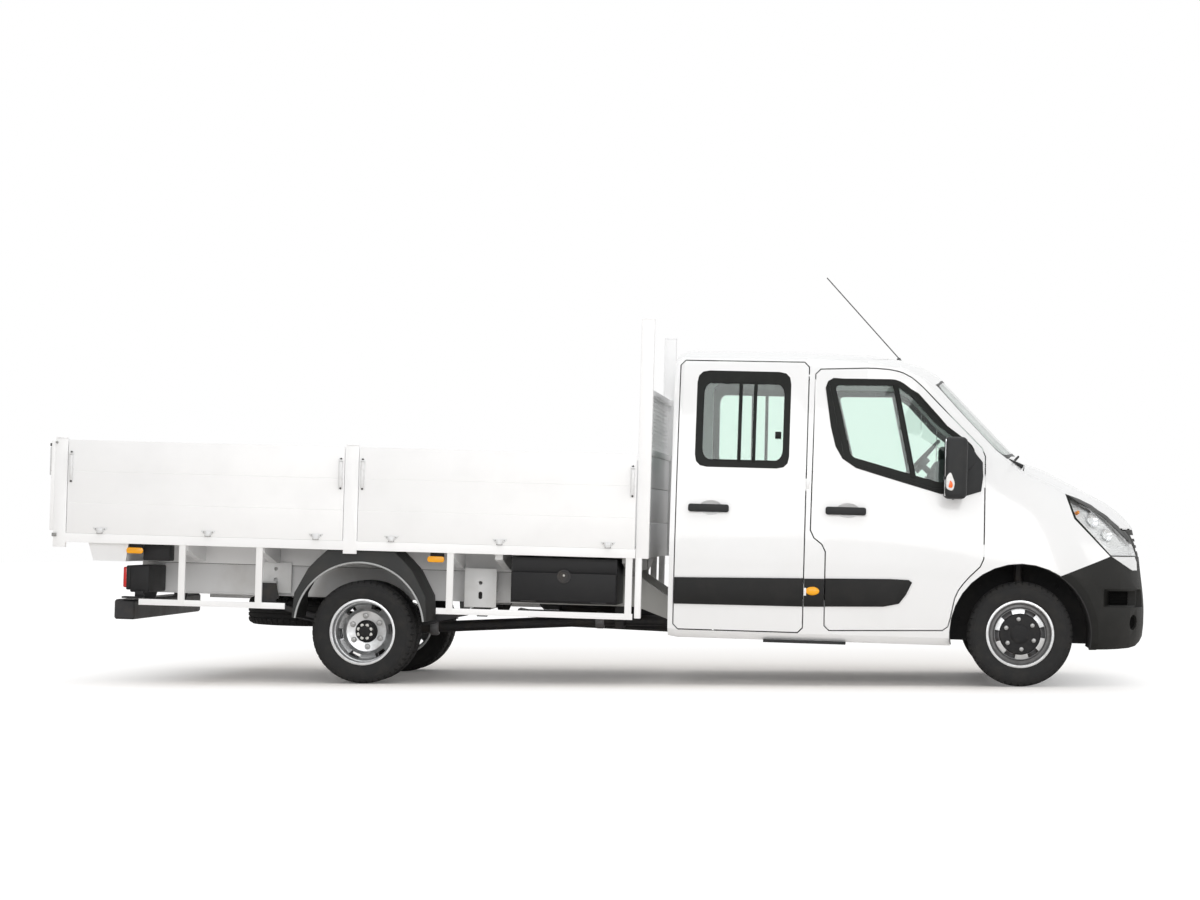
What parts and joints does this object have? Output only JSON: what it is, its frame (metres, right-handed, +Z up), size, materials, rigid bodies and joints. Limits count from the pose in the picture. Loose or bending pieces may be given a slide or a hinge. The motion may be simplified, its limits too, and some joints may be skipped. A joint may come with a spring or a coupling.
{
  "type": "double-cab chassis truck with dropside tray body",
  "caption": "Double-cab light truck on a ladder frame with twin rear wheels, dropside tray body, headboard and side guards; doors, bonnet, sides, steering and wheels move.",
  "frame": {"origin": "on the ground under the middle of the truck's length and width", "axes": "+X to the front, +Y to the truck's left, +Z up"},
  "size_m": [7.3174, 2.6, 2.762],
  "materials": {
    "white_paint": "glossy white body paint",
    "white_alloy": "satin white coating on alloy panels",
    "grey_frame": "satin light grey frame paint",
    "black_plastic": "grained black plastic",
    "black_steel": "satin black chassis paint",
    "tyre_rubber": "black rubber, road tread",
    "silver_wheel": "silver wheel paint",
    "window_glass": "green-tinted safety glass",
    "lamp_lens": "clear lens over a grey reflector",
    "red_lens": "red lens in a black housing",
    "seat_cloth": "dark grey woven cloth",
    "dark_trim": "dark grey moulded trim",
    "cast_metal": "cast grey metal"
  },
  "bodies": {
    "root": {"cab_shell": "white_paint", "chassis_frame": "grey_frame", "dashboard": "dark_trim", "engine": "cast_metal", "exhaust": "black_steel", "front_bumper": "black_plastic", "front_seats": "seat_cloth", "rear_bench": "seat_cloth", "front_suspension": "black_steel", "fuel_tank": "black_plastic", "headboard": "white_alloy", "headlamp_left": "lamp_lens", "headlamp_right": "lamp_lens", "mudguard_left": "black_plastic", "mudguard_right": "black_plastic", "propshaft": "black_steel", "rear_axle": "black_steel", "rear_window": "window_glass", "spare_wheel": "tyre_rubber", "tail_lamp_left": "red_lens", "tail_lamp_right": "red_lens", "toolbox": "black_plastic", "tray_floor": "white_alloy", "tray_side_left": "white_alloy", "tray_side_right": "white_alloy", "underrun_bar": "black_steel", "windscreen": "window_glass", "antenna": "black_plastic"},
    "knuckle_left": {"knuckle_left": "cast_metal"},
    "wheel_front_left": {"tyre_front_left": "tyre_rubber", "rim_front_left": "silver_wheel"},
    "wheel_rear_left": {"tyre_rear_outer_left": "tyre_rubber", "tyre_rear_inner_left": "tyre_rubber", "rim_rear_left": "silver_wheel"},
    "door_front_left": {"door_front_left": "white_paint", "door_glass_front_left": "window_glass", "mirror_left": "black_plastic"},
    "door_rear_left": {"door_rear_left": "white_paint", "door_glass_rear_left": "window_glass"},
    "dropside_front_left": {"dropside_front_left": "white_alloy"},
    "dropside_rear_left": {"dropside_rear_left": "white_alloy"},
    "knuckle_right": {"knuckle_right": "cast_metal"},
    "wheel_front_right": {"tyre_front_right": "tyre_rubber", "rim_front_right": "silver_wheel"},
    "wheel_rear_right": {"tyre_rear_outer_right": "tyre_rubber", "tyre_rear_inner_right": "tyre_rubber", "rim_rear_right": "silver_wheel"},
    "door_front_right": {"door_front_right": "white_paint", "door_glass_front_right": "window_glass", "mirror_right": "black_plastic"},
    "door_rear_right": {"door_rear_right": "white_paint", "door_glass_rear_right": "window_glass"},
    "dropside_front_right": {"dropside_front_right": "white_alloy"},
    "dropside_rear_right": {"dropside_rear_right": "white_alloy"},
    "bonnet": {"bonnet": "white_paint"},
    "tailgate": {"tailgate": "white_alloy"},
    "toolbox_door": {"toolbox_door": "black_plastic"},
    "steering_wheel": {"steering_wheel": "dark_trim"}
  },
  "joints": [
    {"name": "steer_left", "type": "hinge", "parent": "root", "child": "knuckle_left", "pos_m": [2.81109, 0.8, 0.3425], "axis": [0, 0, 1], "range_deg": [-35, 35]},
    {"name": "front_wheel_left_spin", "type": "hinge", "parent": "knuckle_left", "child": "wheel_front_left", "pos_m": [2.81109, 0.875, 0.3425], "axis": [0, 1, 0], "continuous": true},
    {"name": "rear_wheels_left_spin", "type": "hinge", "parent": "root", "child": "wheel_rear_left", "pos_m": [-1.52091, 0.806, 0.3425], "axis": [0, 1, 0], "continuous": true},
    {"name": "door_front_left_hinge", "type": "hinge", "parent": "root", "child": "door_front_left", "pos_m": [2.57786, 1.035, 0.88577], "axis": [-0.0279, 0, -0.9996], "range_deg": [0, 75]},
    {"name": "door_rear_left_hinge", "type": "hinge", "parent": "root", "child": "door_rear_left", "pos_m": [1.41231, 1.035, 0.91832], "axis": [-0.0279, 0, -0.9996], "range_deg": [0, 75]},
    {"name": "dropside_front_left_hinge", "type": "hinge", "parent": "root", "child": "dropside_front_left", "pos_m": [-0.62193, 1.075, 0.92012], "axis": [-0.9996, 0, 0.0279], "range_deg": [0, 180]},
    {"name": "dropside_rear_left_hinge", "type": "hinge", "parent": "root", "child": "dropside_rear_left", "pos_m": [-2.58117, 1.075, 0.97485], "axis": [-0.9996, 0, 0.0279], "range_deg": [0, 180]},
    {"name": "steer_right", "type": "hinge", "parent": "root", "child": "knuckle_right", "pos_m": [2.81109, -0.8, 0.3425], "axis": [0, 0, 1], "range_deg": [-35, 35]},
    {"name": "front_wheel_right_spin", "type": "hinge", "parent": "knuckle_right", "child": "wheel_front_right", "pos_m": [2.81109, -0.875, 0.3425], "axis": [0, 1, 0], "continuous": true},
    {"name": "rear_wheels_right_spin", "type": "hinge", "parent": "root", "child": "wheel_rear_right", "pos_m": [-1.52091, -0.806, 0.3425], "axis": [0, 1, 0], "continuous": true},
    {"name": "door_front_right_hinge", "type": "hinge", "parent": "root", "child": "door_front_right", "pos_m": [2.57786, -1.035, 0.88577], "axis": [0.0279, 0, 0.9996], "range_deg": [0, 75]},
    {"name": "door_rear_right_hinge", "type": "hinge", "parent": "root", "child": "door_rear_right", "pos_m": [1.41231, -1.035, 0.91832], "axis": [0.0279, 0, 0.9996], "range_deg": [0, 75]},
    {"name": "dropside_front_right_hinge", "type": "hinge", "parent": "root", "child": "dropside_front_right", "pos_m": [-0.62193, -1.075, 0.92012], "axis": [0.9996, 0, -0.0279], "range_deg": [0, 180]},
    {"name": "dropside_rear_right_hinge", "type": "hinge", "parent": "root", "child": "dropside_rear_right", "pos_m": [-2.58117, -1.075, 0.97485], "axis": [0.9996, 0, -0.0279], "range_deg": [0, 180]},
    {"name": "bonnet_hinge", "type": "hinge", "parent": "root", "child": "bonnet", "pos_m": [2.75168, 0, 1.45013], "axis": [0, -1, 0], "range_deg": [0, 50]},
    {"name": "tailgate_hinge", "type": "hinge", "parent": "root", "child": "tailgate", "pos_m": [-3.66696, 0, 1.01518], "axis": [0, -1, 0], "range_deg": [0, 180]},
    {"name": "toolbox_door_hinge", "type": "hinge", "parent": "root", "child": "toolbox_door", "pos_m": [-0.17727, -1.007, 0.54356], "axis": [-0.9996, 0, 0.0279], "range_deg": [-90, 0]},
    {"name": "steering_wheel_turn", "type": "hinge", "parent": "root", "child": "steering_wheel", "pos_m": [2.16222, -0.42, 1.4776], "axis": [-0.7169, 0, 0.6972], "range_deg": [-525, 525]}
  ],
  "couplings": [
    {"joint": "steer_left", "follows": "steer_right", "ratio": 1},
    {"joint": "steering_wheel_turn", "follows": "steer_right", "ratio": 15}
  ]
}
